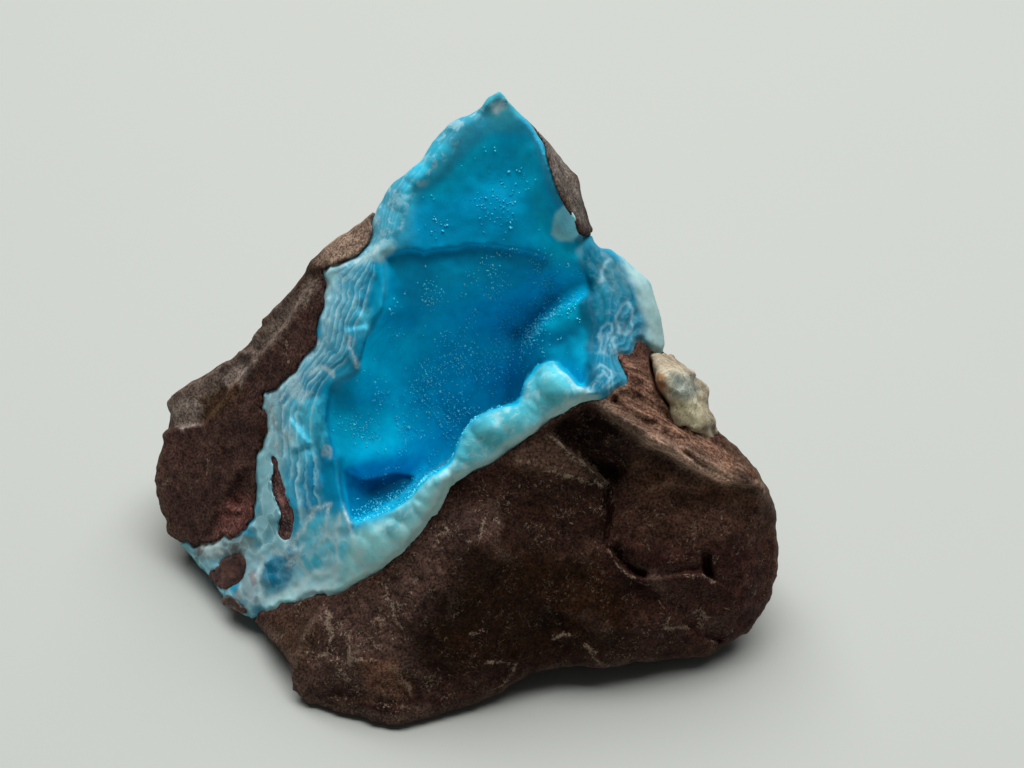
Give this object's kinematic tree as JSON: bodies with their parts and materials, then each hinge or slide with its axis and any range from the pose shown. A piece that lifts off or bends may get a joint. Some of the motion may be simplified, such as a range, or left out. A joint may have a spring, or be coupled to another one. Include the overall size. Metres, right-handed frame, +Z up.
{
  "type": "hemimorphite mineral specimen",
  "caption": "Broken chunk of dark ironstone round an open vug lined with blue botryoidal hemimorphite; stands on a level base facet.",
  "frame": {"origin": "centre of the footprint box, on the level base facet that the stone rests on", "axes": "+X along the longest extent, towards the end with the pale lump; the vug opens towards -Y and up; +Z up"},
  "size_m": [0.0784, 0.058, 0.062],
  "materials": {
    "ironstone": "dull broken stone, dark red-brown with ochre and grey flecks",
    "hemimorphite": "translucent blue, sparkling druse in the vug, pale banded where broken",
    "clast": "dull broken stone",
    "pale_mineral": "waxy, translucent grey and yellow-beige"
  },
  "bodies": {
    "root": {"host_rock": "ironstone", "hemimorphite_crust": "hemimorphite", "clast_sliver": "clast", "clast_oval": "clast", "clast_small": "clast", "pale_crust": "pale_mineral"}
  },
  "joints": []
}
